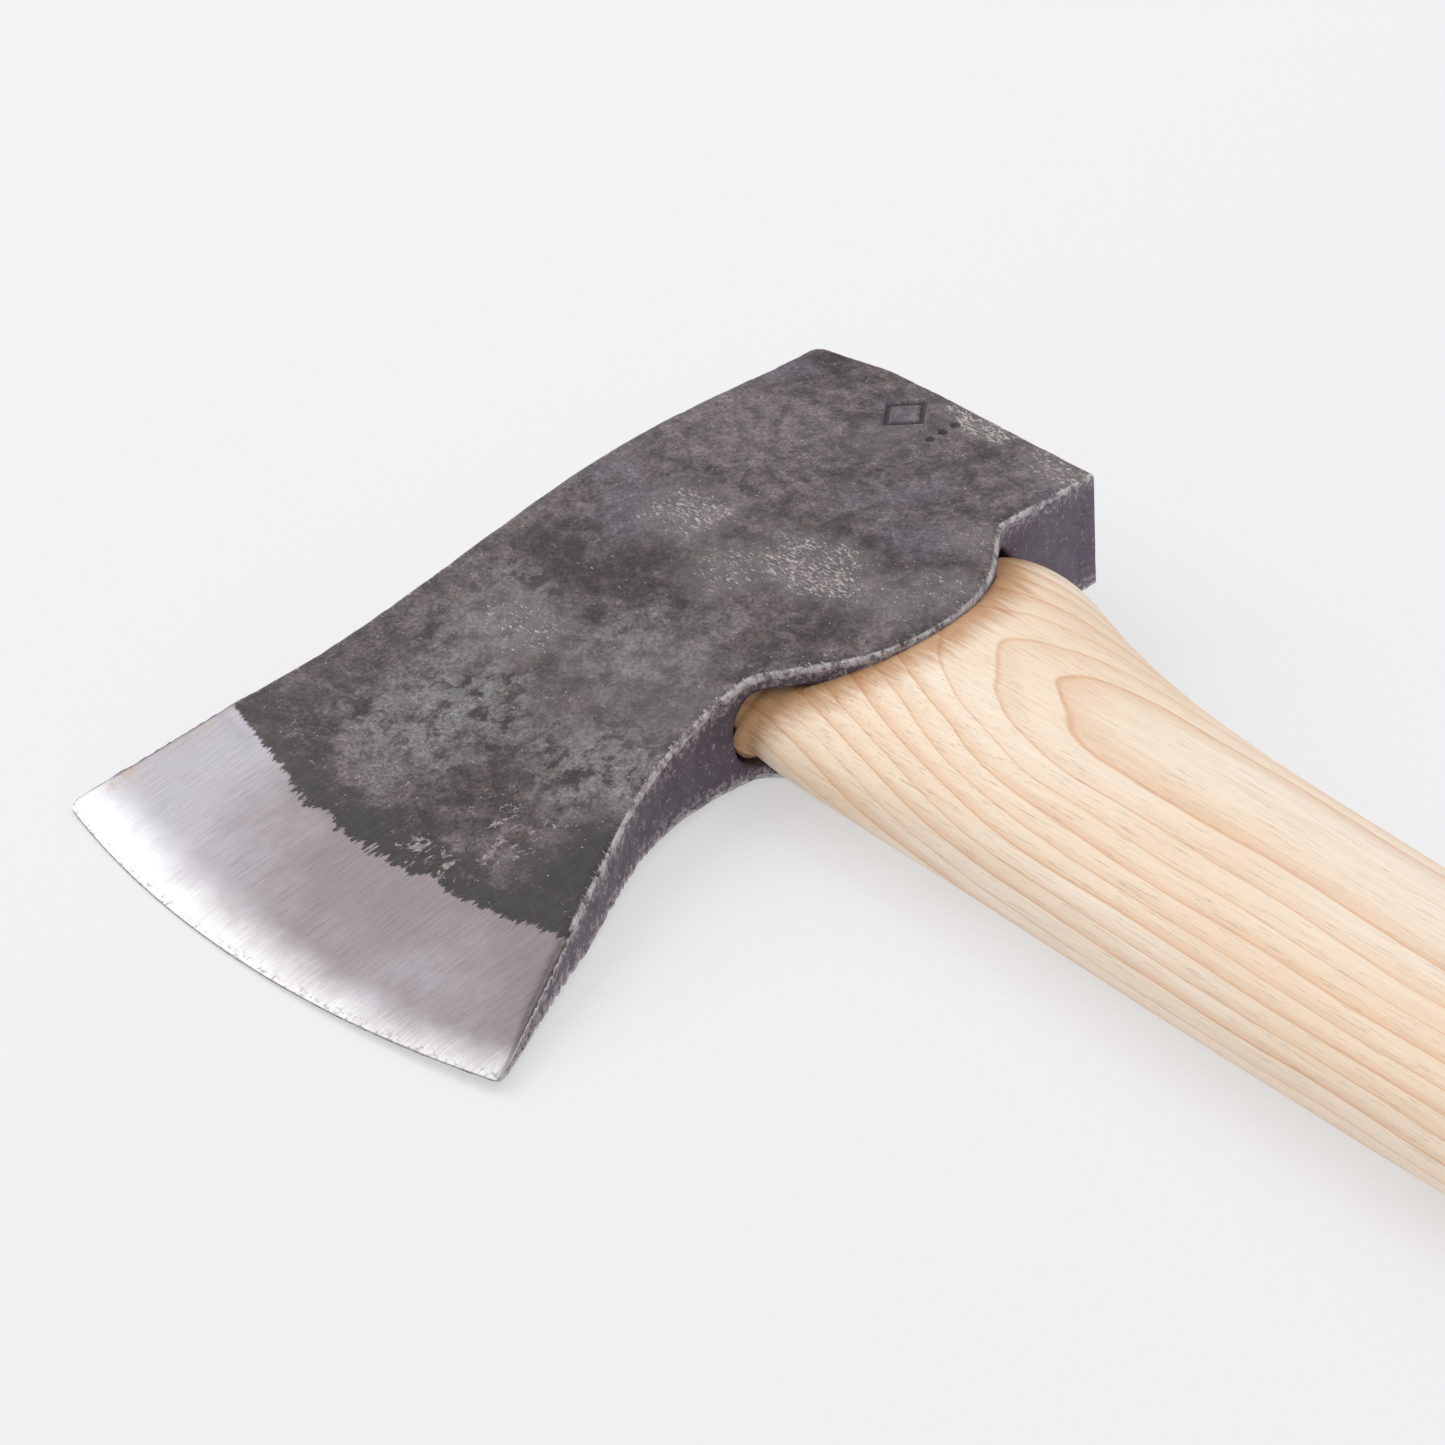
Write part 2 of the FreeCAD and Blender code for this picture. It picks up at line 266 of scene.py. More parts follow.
def cheek_profile():
    """Half thickness of the head against y, from the CAD cheek, carried on past the grind."""
    step, beyond = 0.5, 12
    probe_x, above = -48.0, 60.0     # the cheek is measured near the top line, from above
    ys = np.arange(EDGE_Y - beyond, POLL_TO_EYE + beyond, step)
    grind_y = EDGE_Y + GRIND_WIDTH + 5
    known_y = np.arange(grind_y, POLL_TO_EYE - 2, step)
    known = np.array([cast(HEAD_TREE, (probe_x, y, above), (0, 0, -1))[2] for y in known_y])
    run = 12                         # stations that the slope by the grind is taken over
    slope = (known[run] - known[0]) / (known_y[run] - known_y[0])
    half = np.interp(ys, known_y, known)
    below = ys < grind_y
    half[below] = known[0] + (ys[below] - grind_y) * slope
    width, wide = 2.5, 20
    kernel = np.exp(-0.5 * (np.arange(-wide, wide + 1) * step / width) ** 2)
    padded = np.pad(half, wide, mode="edge")
    return ys, np.convolve(padded, kernel / kernel.sum(), mode="valid")


PROFILE_Y, PROFILE_HALF = cheek_profile()


def half_thickness(x, y):
    """Half thickness of the head: the forged cheek, and the ground bevel near the edge."""
    cheek = np.interp(y, PROFILE_Y, PROFILE_HALF)
    d = np.maximum(edge_distance(x, y), 0)
    land, roll, roll_width, slope = 0.09, 0.42, 2.8, 0.107
    bevel = land + slope * d + roll * (1 - np.exp(-d / roll_width))
    shoulder, steep = GRIND_WIDTH + 1.0, 0.5
    bevel = bevel + np.maximum(d - shoulder, 0) * steep
    blend = 0.3
    soft = np.clip(0.5 + 0.5 * (bevel - cheek) / blend, 0, 1)
    return bevel * (1 - soft) + cheek * soft - blend * soft * (1 - soft) * 0.5


def eye_half(y, waist=0.0):
    """Half width of the eye at y: rounded at both ends and wider towards the poll."""
    back, front = EYE_BACK_HALF - waist, EYE_FRONT_HALF - waist
    length = EYE_LENGTH / 2 - waist
    straight = front + (back - front) * (y + length) / (2 * length)
    half = straight.copy()
    for sign, end in ((1, back), (-1, front)):
        radius = end * EYE_CORNER_SHARE
        past = np.clip((y * sign - (length - radius)) / radius, 0, 1)
        half -= radius * (1 - np.sqrt(1 - past**2))
    return np.where(np.abs(y) >= length, 0.0, np.maximum(half, 0.0))


# Stamps on the upper cheek: a plain lozenge, and three dots in a row. Places are x, y.
LOZENGE = (-33.4, 37.6)
LOZENGE_HALF = 3.7
LOZENGE_DEPTH = 0.42
DOTS = [(-25.2, 35.3), (-25.2, 38.0), (-25.2, 40.7)]
DOT_RADIUS = 0.75
DOT_DEPTH = 0.5
FINE = 0.3      # spacing of the mesh under the stamps


def stamp_depth(x, y):
    """Depth of the stamps, and the metal they raise beside their lines."""
    reach = np.abs(x - LOZENGE[0]) + np.abs(y - LOZENGE[1]) * 0.9
    line = np.abs(reach - LOZENGE_HALF)
    depth = LOZENGE_DEPTH * (1 - smoothstep(0.30, 0.80, line))
    for cx, cy in DOTS:
        away = np.hypot(x - cx, y - cy)
        dot = 1 - smoothstep(DOT_RADIUS * 0.6, DOT_RADIUS * 1.4, away)
        depth = np.maximum(depth, DOT_DEPTH * dot)
    raised = 0.1 * np.exp(-(((line - 1.2) / 0.45) ** 2))
    return depth - raised * (depth < 0.02)


def forge_relief(p, border, normal_z):
    """How far the surface sinks below the smooth forging, and how far by a stamp."""
    x, y, _ = p.T
    ground = 1 - smoothstep(GRIND_WIDTH - 1.5, GRIND_WIDTH + 1.0, edge_distance(x, y))
    side = p * np.array([1, 1, 0.4])
    wave = 0.17 * noise(side, 24, 1) + 0.08 * noise(side, 11, 2)
    hammer = 0.05 * noise(side, 4.6, 3) + 0.025 * noise(side, 2.2, 4)
    pits = np.clip(noise(side, 1.7, 5) - 0.55, 0, 1) * 0.22
    scabs = smoothstep(0.35, 0.5, noise(side, (3.4, 5.0, 4), 6)) * 0.05
    scabs = scabs * smoothstep(0.1, 0.6, noise(side, 19, 7) + 0.3)
    nicks = 0.16 * np.clip(noise(p, 1.9, 8), 0, 1) * np.exp(-border / 0.9)
    rough = wave * 0.6 + hammer + pits + scabs + nicks
    smooth = 0.02 * noise(side, 17, 9) + 0.05 * nicks
    near_edge = smoothstep(0.3, 6.0, edge_distance(x, y))
    relief = rough * (1 - ground) + smooth * ground - 0.03
    relief = relief * near_edge
    # a cold shut running up from the root of the upper ear
    path = 20.5 + 1.5 * np.sin(x * 0.45)
    crack = np.exp(-(((y - path + x * 0.55) / 0.6) ** 2)) * smoothstep(-12, -3, x)
    crack = crack * (1 - smoothstep(3.0, 4.5, x))
    upper = smoothstep(0.3, 0.8, normal_z)
    stamp = stamp_depth(x, y)
    return relief + upper * (stamp + 0.22 * crack), upper * np.clip(stamp, 0, 1)


def head_sections():
    """Where the grid's lines run: shares along the poll and edge, and y of each column."""
    finest, growth = 0.16, 0.4       # spacing at a border, and its growth away from it

    def spacing_by(borders, stamped, coarse):
        def spacing(value):
            near = min(abs(value - border) for border in borders)
            limit = FINE if stamped[0] < value < stamped[1] else coarse
            return min(limit, finest + growth * near)
        return spacing

    rows = march(-POLL_HEIGHT, 0.0, spacing_by((-POLL_HEIGHT, 0.0), (-38.0, -22.5), 0.64))
    eye = EYE_LENGTH / 2
    by_y = spacing_by((EDGE_Y, -eye, eye, POLL_TO_EYE), (32.0, 43.2), 0.74)
    parts = [march(a, b, by_y) for a, b in ((EDGE_Y, -eye), (-eye, eye), (eye, POLL_TO_EYE))]
    columns = np.concatenate([parts[0][:-1], parts[1][:-1], parts[2]])[::-1]
    return 1 + rows / POLL_HEIGHT, columns


def cheek_grid():
    """Grid of (x, y) over the side of the head, with its border on the outline; its columns."""
    rows, columns = head_sections()
    top = side_of(OUTLINE, (-1, 1), (-1, -1), (-1, 0))
    low = side_of(OUTLINE, (0.5, 1), (0.9, -0.45), (1, 0))
    poll = side_of(OUTLINE, (-1, 1), (0.5, 1), (0, 1))
    edge = side_of(OUTLINE, (-1, -1), (0.9, -0.45), (0, -1))
    # columns are level across the eye, and end on the outline's own corners
    share = (POLL_TO_EYE - columns) / (POLL_TO_EYE - EDGE_Y)

    def along(side):
        order = np.argsort(side[:, 1])
        first, last = side[:, 1].max(), side[:, 1].min()
        keep = EYE_LENGTH / 2 + 3
        ys = columns.copy()
        past = columns > keep
        ys[past] = keep + (columns[past] - keep) * (first - keep) / (POLL_TO_EYE - keep)
        past = columns < -keep
        ys[past] = -keep + (columns[past] + keep) * (last + keep) / (EDGE_Y + keep)
        xs = np.interp(ys, side[order, 1], side[order, 0])
        return np.stack([xs, ys], axis=1)

    def across(side):
        order = np.argsort(side[:, 0])
        xs = side[:, 0].min() + rows * np.ptp(side[:, 0])
        return np.stack([xs, np.interp(xs, side[order, 0], side[order, 1])], axis=1)

    t_line, b_line, p_line, e_line = along(top), along(low), across(poll), across(edge)
    p_line[0], p_line[-1], e_line[0], e_line[-1] = t_line[0], b_line[0], t_line[-1], b_line[-1]
    s = rows[:, None, None]
    t = share[None, :, None]
    t = (t - t.min()) / np.ptp(t)
    grid = (1 - s) * t_line[None] + s * b_line[None]
    grid = grid + (1 - t) * p_line[:, None] + t * e_line[:, None]
    grid -= (1 - s) * (1 - t) * t_line[0] + (1 - s) * t * t_line[-1]
    grid -= s * (1 - t) * b_line[0] + s * t * b_line[-1]
    return grid, columns


def distance_to(line, points):
    """Distance in x and y from each point to the nearest of a line's points."""
    block = 2000
    out = np.empty(len(points))
    for i in range(0, len(points), block):
        gap = points[i : i + block, None, :2] - line[None]
        out[i : i + block] = np.hypot(gap[..., 0], gap[..., 1]).min(axis=1)
    return out


def border_distance(points):
    """Distance from each point to the head's outline, the cutting edge left out."""
    return distance_to(OUTLINE[edge_distance(OUTLINE[:, 0], OUTLINE[:, 1]) > 0.4], points)


ARRIS_RADIUS = 0.95       # most of the rounding between cheek and rim
ARRIS_SHARE = 0.55        # and its share of the half thickness, where the head is thin
RIM_STEPS = np.array([0.12, 0.35, 0.7, 1.0])
EYE_RINGS = 14
FAR_FROM_ARRIS = 9.0


def build_head(material):
    """The forging: two cheeks, the rim between them, and the eye's wall."""
    grid, columns = cheek_grid()
    n_rows, n_cols = grid.shape[:2]
    flat = grid.reshape(-1, 2)
    half = half_thickness(flat[:, 0], flat[:, 1])
    border = border_distance(flat)
    arris = np.minimum(ARRIS_RADIUS, ARRIS_SHARE * half)
    inside = np.clip(arris - border, 0, None)
    drop = arris - np.sqrt(np.maximum(arris**2 - inside**2, 0))
    height = half - drop
    points = [np.column_stack([flat, height]), np.column_stack([flat, -height])]
    arris_away = [border, border]
    upper = np.arange(n_rows * n_cols).reshape(n_rows, n_cols)
    lower = upper + n_rows * n_cols
    faces = [grid_faces(upper), grid_faces(lower, flip=True)]
    count = 2 * n_rows * n_cols

    # the rim, from each cheek's border in to the middle plane or the eye's mouth
    loop = np.concatenate([
        upper[0, :], upper[1:, -1], upper[-1, -2::-1], upper[-2:0:-1, 0],
    ])
    on_side = np.zeros(len(loop), dtype=bool)
    on_side[:n_cols] = True
    start_low = n_cols + n_rows - 1
    on_side[start_low - 1 : start_low - 1 + n_cols] = True
    mouth = np.where(on_side, eye_half(flat[loop, 1]), 0.0)
    rims = []
    for sign in (1, -1):
        z0 = height[loop]
        ring = [loop if sign > 0 else loop + n_rows * n_cols]
        for step in RIM_STEPS:
            z = z0 + (mouth - z0) * step
            points.append(np.column_stack([flat[loop], sign * z]))
            arris_away.append(z0 - z)
            ring.append(np.arange(count, count + len(loop)))
            count += len(loop)
        band = np.array(ring)
        band = np.concatenate([band, band[:, :1]], axis=1)
        faces.append(grid_faces(band, flip=sign > 0))
        rims.append(band[-1, :-1])

    # the eye's wall, an hourglass from the top line to the underside
    top_cols = np.flatnonzero(np.abs(columns) <= EYE_LENGTH / 2 + 0.001)
    first, last = top_cols[0], top_cols[-1]
    low_index = start_low - 1 + (n_cols - 1 - np.arange(first, last + 1))
    depth = np.linspace(0, 1, EYE_RINGS)
    for sign, rim in zip((1, -1), rims):
        top_ids = rim[first : last + 1]
        low_ids = rim[low_index]
        top_xy = flat[loop[first : last + 1]]
        low_xy = flat[loop[low_index]]
        wall = [top_ids]
        for share in depth[1:-1]:
            xy = top_xy + (low_xy - top_xy) * share
            waist = EYE_WAIST * (1 - abs(2 * share - 1))
            y = xy[:, 1] * (EYE_LENGTH / 2 - waist) / (EYE_LENGTH / 2)
            z = eye_half(y, waist)
            points.append(np.column_stack([xy[:, 0], y, sign * z]))
            arris_away.append(np.full(len(y), FAR_FROM_ARRIS))
            wall.append(np.arange(count, count + len(y)))
            count += len(y)
        wall.append(low_ids)
        faces.append(grid_faces(np.array(wall), flip=sign < 0))

    points = np.concatenate(points)
    faces = np.concatenate(faces)
    return finish_head(points, faces, np.concatenate(arris_away), material)


def point_normals(points, faces):
    """Unit normals of a quad mesh at its points."""
    a, b, c, d = (points[faces[:, i]] for i in range(4))
    face_normals = np.cross(c - a, d - b)
    normals = np.zeros_like(points)
    for i in range(4):
        np.add.at(normals, faces[:, i], face_normals)
    return normals / np.maximum(np.linalg.norm(normals, axis=1, keepdims=True), 1e-9)


def finish_head(points, faces, arris_away, material):
    """Sinks the relief into the smooth forging, and keeps what the material reads."""
    normals = point_normals(points, faces)
    middle = np.array([AXIS_X, 0, 0])
    outward = np.sign(np.sum(normals * (points - middle), axis=1).mean())
    normals = normals * outward
    border = border_distance(points)
    eye_rim = 0.4
    in_eye = (np.abs(points[:, 1]) < EYE_LENGTH / 2) & (
        np.abs(points[:, 2]) < eye_half(points[:, 1]) + eye_rim
    )
    relief, sunk = forge_relief(points, border, normals[:, 2])
    relief = np.where(in_eye, 0.0, relief)
    moved = points - normals * relief[:, None]
    attributes = {
        "forge": points,
        "arris": arris_away,
        "side": normals[:, 2],
        "sunk": sunk,
    }
    obj = mesh_object("forged_head", moved, faces.tolist(), material, attributes)
    weld(obj)
    return obj


# ---------------------------------------------------------------- the handle

HANDLE_TREE, HANDLE_POINTS = node_tree("handle")
KNOB_X = HANDLE_POINTS[:, 0].max()
TONGUE_X = HANDLE_POINTS[:, 0].min()
AROUND = 168                     # points in each ring of the handle
TURNS = np.linspace(0, 2 * math.pi, AROUND, endpoint=False)
RING_LONG, RING_SHORT = 27.0, 11.0
ABOVE_FLAT = 0.01                # just off the plane of symmetry, clear of the CAD's seam
TRIMMED_X = 16.0                 # the ears are cut out of the CAD handle nearer the head
BUTT_LENGTH = 6.0                # the knob's end, which is rounded over this length
# The shoulder's section under the ears, as the CAD has it before they are cut out:
# x, back, front, and the half thickness at each.
SHOULDER_TOP = (-2.0, 28.9, -26.3, 10.9, 8.1)
SHOULDER_FULL = (10.0, 31.3, -27.2, 11.9, 10.1)
SHOULDER_SQUARENESS = 1.9


def ring_ways():
    """Directions of the handle's ring points from its middle, in y and z."""
    ways = np.column_stack([RING_LONG * np.cos(TURNS), RING_SHORT * np.sin(TURNS)])
    return ways / np.linalg.norm(ways, axis=1, keepdims=True)


def middle_of(x):
    """Halfway between the back and the front of the CAD handle at x."""
    far = 150.0
    back = cast(HANDLE_TREE, (x, far, ABOVE_FLAT), (0, -1, 0))[1]
    front = cast(HANDLE_TREE, (x, -far, ABOVE_FLAT), (0, 1, 0))[1]
    return (back + front) / 2


def reach_of_cad(x, ways):
    """Distance from the CAD handle's middle to its surface at x, each way."""
    start = (x, middle_of(x), ABOVE_FLAT)
    hits = [cast(HANDLE_TREE, start, (0.0, *way)) for way in ways]
    return np.array([np.linalg.norm(hit - np.array(start)) for hit in hits])


def reach_of_section(section, ways):
    """The same for a section given by its sizes, found by halving."""
    _, back, front, half_back, half_front = section
    half_long = (back - front) / 2
    too_far, halvings = 60.0, 30
    low, high = np.zeros(len(ways)), np.full(len(ways), too_far)
    for _ in range(halvings):
        reach = (low + high) / 2
        along = reach * ways[:, 0] / half_long
        half = half_front + (half_back - half_front) * (1 + along) / 2
        across = reach * ways[:, 1] / np.maximum(half, 1.0)
        power = SHOULDER_SQUARENESS
        inside = np.abs(along) ** power + np.abs(across) ** power < 1
        low, high = np.where(inside, reach, low), np.where(inside, high, reach)
    return reach


def through(xs, known_x, known):
    """The curve through a few known rows, at other x (Lagrange's formula)."""
    total = 0
    for i, a in enumerate(known_x):
        weight = np.ones(len(xs))
        for b in known_x[:i] + known_x[i + 1 :]:
            weight = weight * (xs - b) / (a - b)
        total = total + weight[:, None] * known[i][None]
    return total


def smooth_rows(values, passes):
    """Each row drawn towards its neighbours, a few times over."""
    for _ in range(passes):
        padded = np.concatenate([values[:1], values, values[-1:]])
        values = (padded[:-2] + 2 * values + padded[2:]) / 4
    return values


def haft_rings():
    """Rings of the handle below the head, read from the CAD handle."""
    ways = ring_ways()
    hidden = np.arange(SHOULDER_TOP[0], TRIMMED_X, 0.5)
    neck = np.arange(TRIMMED_X, 100.0, 0.75)
    grip = np.arange(100.8, KNOB_X - BUTT_LENGTH, 1.3)
    shown = np.concatenate([neck, grip])
    end = KNOB_X - 0.02 - 5.4 * (1 - np.sin(np.linspace(0, math.pi / 2, 16)))
    known_x = [SHOULDER_TOP[0], SHOULDER_FULL[0], TRIMMED_X, TRIMMED_X + 4.0]
    known = [
        reach_of_section(SHOULDER_TOP, ways),
        reach_of_section(SHOULDER_FULL, ways),
        reach_of_cad(known_x[2], ways),
        reach_of_cad(known_x[3], ways),
    ]
    reach = np.concatenate([
        through(hidden, known_x, known),
        np.array([reach_of_cad(x, ways) for x in shown]),
    ])
    lap = 8
    around = np.concatenate([reach[:, -lap:], reach, reach[:, :lap]], axis=1)
    reach = smooth_rows(smooth_rows(around.T, 3).T[:, lap:-lap], 6)
    reach = np.concatenate([reach, [reach_of_cad(x, ways) for x in end]])
    xs = np.concatenate([hidden, shown, end])
    middle = smooth_rows(np.array([middle_of(x) for x in xs]), 4)
    rings = np.empty((len(xs), AROUND, 3))
    rings[:, :, 0] = xs[:, None]
    rings[:, :, 1] = middle[:, None] + reach * ways[:, 0]
    rings[:, :, 2] = reach * ways[:, 1]
    return rings


def tongue_ring(x):
    """The tongue's outline in the eye at x, a hair inside the eye's wall."""
    share = (x + POLL_HEIGHT + TONGUE_PROUD) / (TONGUE_PROUD + POLL_HEIGHT + EAR_DEPTH)
    chamfer = max(0.0, 0.5 - (x - TONGUE_X)) * 0.6
    hair, bunching = 0.08, 0.6       # gap to the wall, and how points crowd at the ends
    waist = EYE_WAIST * (1 - abs(2 * share - 1)) + hair + chamfer
    length = EYE_LENGTH / 2 - waist
    y = length * np.sign(np.cos(TURNS)) * np.abs(np.cos(TURNS)) ** bunching
    z = np.where(np.abs(y) > length - 1e-6, 0.0, eye_half(y, waist)) * np.sign(np.sin(TURNS))
    return np.column_stack([np.full(AROUND, x), y, z])


def build_handle(material):
    """One stick: tongue in the eye, shoulder, neck, grip and knob, as rings along x."""
    tongue_x = np.concatenate([TONGUE_X + np.array([0.15, 0.35, 0.6]), np.linspace(-60, -2.2, 58)])
    rings = np.concatenate([[tongue_ring(x) for x in tongue_x], haft_rings()])
    n = len(rings)
    points = rings.reshape(-1, 3)
    index = np.arange(n * AROUND).reshape(n, AROUND)
    index = np.concatenate([index, index[:, :1]], axis=1)
    faces = [grid_faces(index)]
    tips = []
    # both ends are closed by rings that shrink to a point
    for end, ids in ((0, index[0, :-1]), (1, index[-1, :-1])):
        centre = points[ids].mean(axis=0)
        previous = ids
        for share in (0.9, 0.75, 0.6, 0.45, 0.3, 0.15):
            ring = centre + (points[ids] - centre) * share
            new = np.arange(len(points), len(points) + AROUND)
            points = np.concatenate([points, ring])
            pair = np.array([previous, new])
            pair = np.concatenate([pair, pair[:, :1]], axis=1)
            faces.append(grid_faces(pair, flip=end == 0))
            previous = new
        points = np.concatenate([points, centre[None]])
        last = len(points) - 1
        for i in range(AROUND):
            corner = (previous[i], previous[(i + 1) % AROUND], last)
            tips.append(tuple(int(c) for c in (corner if end else corner[::-1])))
    moved = points - uneven_wood(points)
    faces = np.concatenate(faces).tolist() + tips
    obj = mesh_object("hatchet_handle", moved, faces, material)
    weld(obj)
    for cutter in ("axe_head", "wood_wedge", "steel_wedge"):
        carve(obj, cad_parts[cutter])
    coat_handle(obj)
    return obj


def uneven_wood(points):
    """How far the hand-finished haft falls short of the smooth one."""
    x, y, z = points.T
    outward = np.column_stack([np.zeros(len(x)), y - 2.0, 2.5 * z])
    outward /= np.maximum(np.linalg.norm(outward, axis=1, keepdims=True), 1e-6)
    depth = 0.12 + 0.12 * noise(points, (40, 14, 14), 21) + 0.04 * noise(points, (14, 6, 6), 22)
    shown = smoothstep(12.0, 30.0, x)
    shown = shown * (1 - smoothstep(KNOB_X - 9, KNOB_X - 5, x))
    return outward * (depth * shown)[:, None]


def carve(obj, cutter):
    """Cuts a CAD node's shape out of a piece."""
    cut = obj.modifiers.new("cut", "BOOLEAN")
    cut.operation, cut.solver, cut.object = "DIFFERENCE", "EXACT", cutter
    result = obj.evaluated_get(bpy.context.evaluated_depsgraph_get())
    mesh = bpy.data.meshes.new_from_object(result)
    obj.modifiers.clear()
    obj.data = mesh


def coat_handle(obj):
    """Stores what the wood's material reads: the place, and how far off the steel is."""
    mesh = obj.data
    points = np.empty(len(mesh.vertices) * 3)
    mesh.vertices.foreach_get("co", points)
    points = transform(TO_FORGE, points.reshape(-1, 3))
    underside = OUTLINE[OUTLINE[:, 0] > -6]
    beyond_oil_and_shade, far_off = 45, 60.0       # x past which the wood is taken as this far off
    away = np.full(len(points), far_off)
    near = points[:, 0] < beyond_oil_and_shade
    away[near] = distance_to(underside, points[near])
    place = mesh.attributes.new("forge", "FLOAT_VECTOR", "POINT")
    place.data.foreach_set("vector", points.ravel())
    mesh.attributes.new("steel_distance", "FLOAT", "POINT").data.foreach_set("value", away)
    mesh.shade_smooth()
    print(obj.name, "faces", len(mesh.polygons), "open", sum(c != 2 for c in edge_use(mesh)))


# ---------------------------------------------------------------- materials

class Shader:
    """A procedural material, built node by node."""

    def __init__(self, name):
        self.material = bpy.data.materials.new(name)
        self.material.use_nodes = True
        self.tree = self.material.node_tree
        self.principled = self.tree.nodes["Principled BSDF"]

    def node(self, kind, inputs=None, **properties):
        node = self.tree.nodes.new(kind)
        for key, value in properties.items():
            setattr(node, key, value)
        for key, value in (inputs or {}).items():
            self.plug(node.inputs[key], value)
        return node

    def plug(self, socket, value):
        if isinstance(value, bpy.types.NodeSocket):
            self.tree.links.new(value, socket)
        elif isinstance(value, (tuple, list)) and len(value) == 3 and socket.type == "RGBA":
            socket.default_value = (*value, 1.0)
        else:
            socket.default_value = value

    def attribute(self, name):
        return self.node("ShaderNodeAttribute", attribute_name=name)

    def maths(self, operation, a, b=0.0, c=0.0, clamp=False):
        node = self.node("ShaderNodeMath", {0: a, 1: b, 2: c}, operation=operation)
        node.use_clamp = clamp
        return node.outputs[0]

    def times(self, a, b, clamp=False):
        return self.maths("MULTIPLY", a, b, clamp=clamp)

    def plus(self, a, b):
        return self.maths("ADD", a, b)

    def minus(self, a, b):
        return self.maths("SUBTRACT", a, b)

    def larger(self, a, b):
        return self.maths("MAXIMUM", a, b)

    def swing(self, noise, width):
        """Noise from 0 to 1 turned to run that width in all, either side of nothing."""
        return self.times(self.minus(noise, 0.5), width)

    def step(self, value, low, high, to_low=0.0, to_high=1.0):
        """Smooth step from one value to another."""
        ends = {"From Min": low, "From Max": high, "To Min": to_low, "To Max": to_high}
        node = self.node(
            "ShaderNodeMapRange", {"Value": value, **ends}, interpolation_type="SMOOTHSTEP"
        )
        return node.outputs["Result"]

    def stretch(self, vector, scale):
        node = self.node("ShaderNodeVectorMath", {0: vector, 1: scale}, operation="MULTIPLY")
        return node.outputs[0]

    def shift(self, vector, offset):
        node = self.node("ShaderNodeVectorMath", {0: vector, 1: offset}, operation="ADD")
        return node.outputs[0]

    def noise(self, vector, scale, detail=3.0, rough=0.55, warp=0.0):
        node = self.node("ShaderNodeTexNoise", {
            "Vector": vector, "Scale": scale, "Detail": detail,
            "Roughness": rough, "Distortion": warp,
        })
        return node.outputs["Fac"]

    def dot(self, vector, way):
        node = self.node("ShaderNodeVectorMath", {0: vector, 1: way}, operation="DOT_PRODUCT")
        return node.outputs["Value"]

    def mix(self, factor, a, b, blend="MIX"):
        """Blend of two colours."""
        node = self.node("ShaderNodeMix", data_type="RGBA", blend_type=blend)
        self.plug(node.inputs[0], factor)
        self.plug(node.inputs[6], a)
        self.plug(node.inputs[7], b)
        return node.outputs[2]

    def layer(self, under, over, share, strength):
        """One colour laid over another where share is 1, at that strength."""
        return self.mix(self.times(share, strength), under, over)

    def gain(self, colour, value):
        """The colour made brighter or darker by a number."""
        grey = self.node("ShaderNodeCombineColor", {0: value, 1: value, 2: value}).outputs[0]
        return self.mix(1.0, colour, grey, "MULTIPLY")

    def blend(self, factor, a, b):
        """Blend of two numbers."""
        node = self.node("ShaderNodeMix", data_type="FLOAT")
        self.plug(node.inputs[0], factor)
        self.plug(node.inputs[2], a)
        self.plug(node.inputs[3], b)
        return node.outputs[0]

    def bump(self, height, distance):
        """Normal of a surface whose height, from 0 to 1, is worth that many millimetres."""
        inputs = {"Height": height, "Distance": distance * MM, "Strength": 1.0}
        return self.node("ShaderNodeBump", inputs).outputs["Normal"]

    def surface(self, **sockets):
        """The finished material, with these values or nodes in the shader's own sockets."""
        for key, value in sockets.items():
            self.plug(self.principled.inputs[key.replace("_", " ")], value)
        return self.material


# Where the scale is rubbed through to bright specks: x, y, half sizes, and how strongly.
WORN_PATCHES = [
    (-37.0, -4.0, 8.0, 8.0, 0.95),
    (-22.0, -10.0, 7.0, 6.0, 0.8),
    (-11.0, -1.0, 14.0, 7.0, 0.95),
    (6.0, 4.0, 5.5, 9.0, 0.7),
    (-38.0, -37.0, 10.0, 8.0, 0.75),
    (-5.0, 43.0, 7.0, 4.5, 0.9),
    (-22.0, 43.5, 9.0, 3.5, 1.0),
    (-30.0, 30.0, 6.0, 10.0, 0.45),
    (-14.0, -37.0, 16.0, 12.0, 0.45),
    (0.0, 20.0, 5.0, 5.0, 0.8),
]
# Where it has lifted off in lacy flakes, by the bright bevel.
FLAKED_PATCHES = [
    (-3.5, -66.0, 7.5, 8.5, 1.0),
    (-9.0, -76.0, 8.0, 5.0, 1.0),
    (-28.0, -71.0, 7.0, 5.0, 0.85),
    (-44.0, -69.0, 6.0, 6.0, 0.7),
    (-22.0, -52.0, 12.0, 9.0, 0.5),
]
# Where it is greenish grey, and where it is burnt black and brushed.
GREEN_PATCHES = [
    (-33.0, -56.0, 13.0, 13.0, 1.0),
    (-5.0, -49.0, 12.0, 9.0, 1.0),
    (-44.0, -36.0, 10.0, 10.0, 0.6),
    (-20.0, -30.0, 13.0, 8.0, 0.5),
]
HEEL_PATCH = [(9.0, -66.0, 9.0, 15.0, 1.0)]

